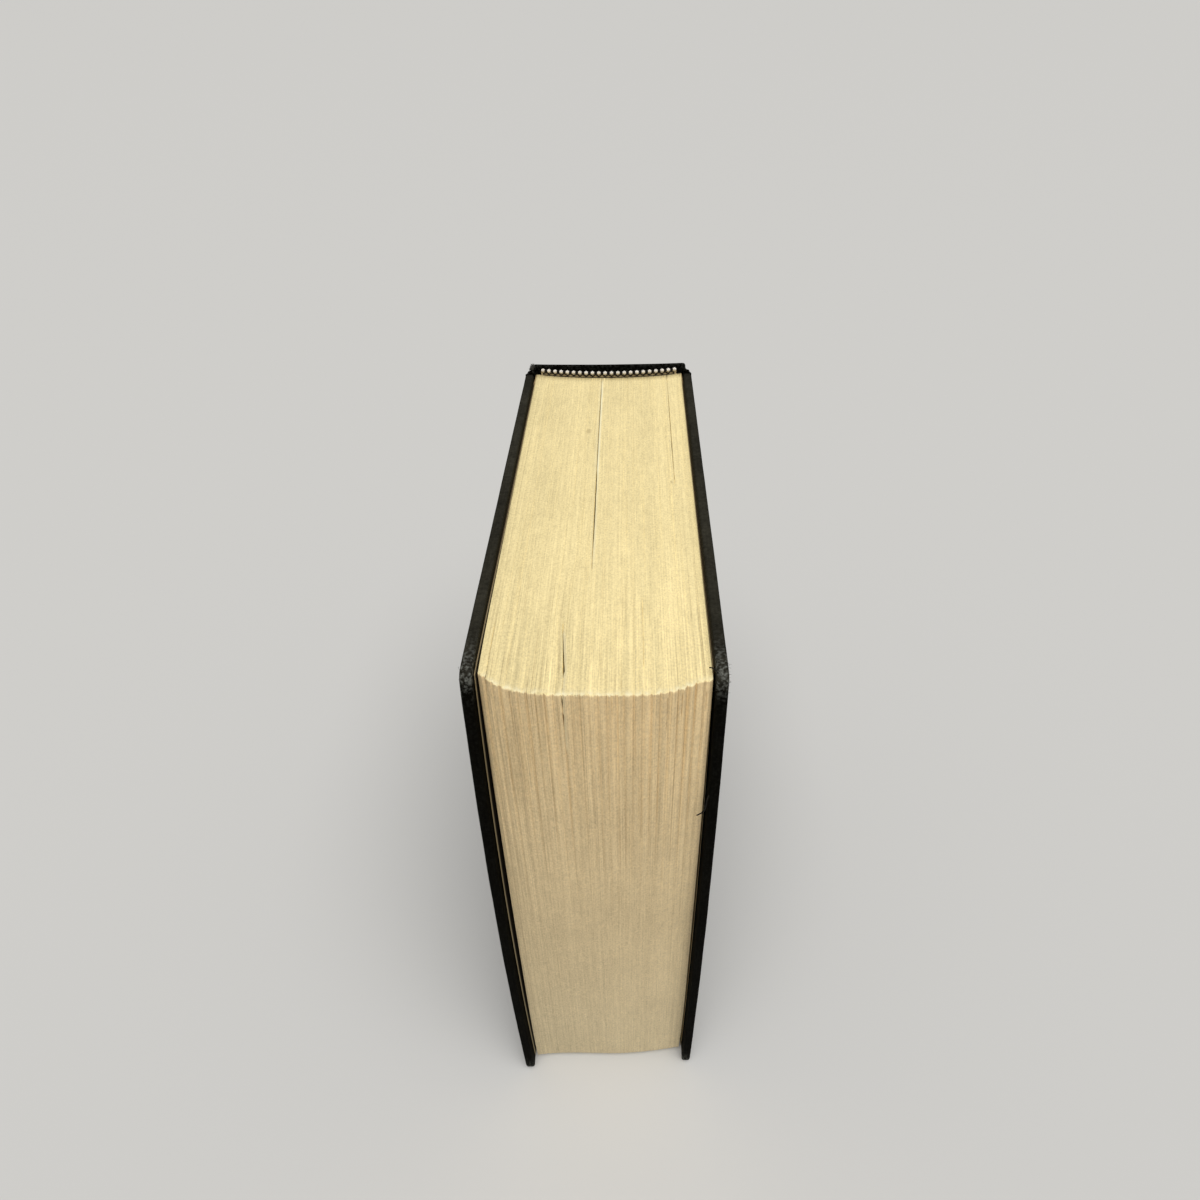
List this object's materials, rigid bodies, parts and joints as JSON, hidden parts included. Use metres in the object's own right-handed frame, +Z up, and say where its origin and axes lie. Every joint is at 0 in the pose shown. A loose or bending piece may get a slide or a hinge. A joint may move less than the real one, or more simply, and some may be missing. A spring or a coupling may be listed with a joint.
{
  "type": "hardcover book",
  "caption": "Thick cloth-bound hardcover book standing on its tail, with a swollen fore-edge, a hollow spine, woven head and tail bands, and covers that swing open at cloth joints.",
  "frame": {"origin": "on the floor, under the middle of the closed book's bounding box", "axes": "+Z up from tail to head, +Y from the fore-edge to the spine, +X from the front cover to the back cover"},
  "size_m": [0.0715, 0.1929, 0.23],
  "materials": {
    "pages": "aged cream paper, leaf edges",
    "endpaper": "aged cream endpaper",
    "lining": "glued mull and brown paper",
    "band": "white and black thread wraps on a cream tape",
    "cloth": "black book cloth, fine weave",
    "card": "plain card",
    "board": "grey binder's board"
  },
  "bodies": {
    "book_block": {"text_block": "pages", "front_flyleaf": "endpaper", "back_flyleaf": "endpaper", "spine_lining": "lining", "head_band": "band", "tail_band": "band", "spine_cloth": "cloth", "spine_inlay": "card"},
    "front_cover": {"front_board": "board", "front_cover_cloth": "cloth", "front_pastedown": "endpaper"},
    "back_cover": {"back_board": "board", "back_cover_cloth": "cloth", "back_pastedown": "endpaper"}
  },
  "joints": [
    {"name": "front_cover_hinge", "type": "hinge", "parent": "book_block", "child": "front_cover", "pos_m": [-0.03365, 0.08815, 0], "axis": [0, 0, -1], "range_deg": [0, 180]},
    {"name": "back_cover_hinge", "type": "hinge", "parent": "book_block", "child": "back_cover", "pos_m": [0.03365, 0.08815, 0], "axis": [0, 0, 1], "range_deg": [0, 180]}
  ]
}
